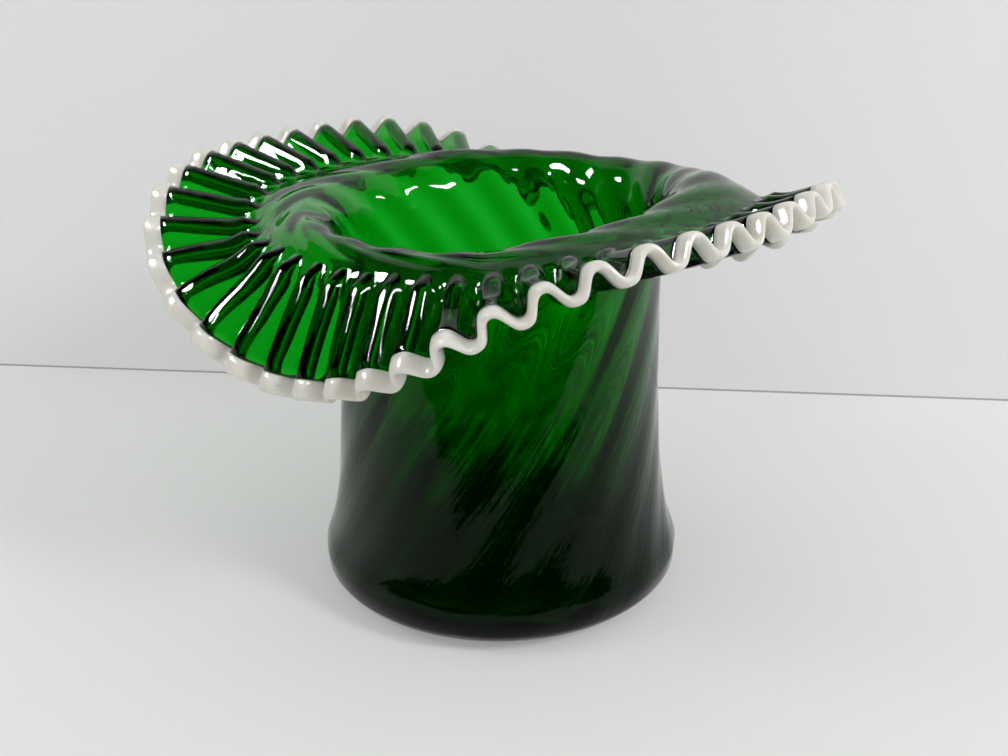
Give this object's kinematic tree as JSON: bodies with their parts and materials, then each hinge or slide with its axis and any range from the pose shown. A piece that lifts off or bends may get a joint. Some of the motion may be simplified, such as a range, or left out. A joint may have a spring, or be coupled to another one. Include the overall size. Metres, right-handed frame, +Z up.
{
  "type": "glass hat vase",
  "caption": "Hollow blown glass hat standing on its crown, with a spiral ribbed wall, a flared saddle-shaped crimped brim and a white glass edge; a vase or bowl.",
  "frame": {"origin": "below the middle of the brim, on the plane the hat stands on; the axis of the crown is 6.6 mm from it towards +X", "axes": "+Z up along the crown; the brim dips towards -Y and +Y and rises towards -X and +X"},
  "size_m": [0.2733, 0.2344, 0.1823],
  "materials": {
    "green_glass": "clear deep emerald green glass, fire polished, with soft spiral ribs inside",
    "white_glass": "opaque to slightly translucent opal white glass, fire polished"
  },
  "bodies": {
    "root": {"glass_body": "green_glass", "white_crest": "white_glass"}
  },
  "joints": []
}
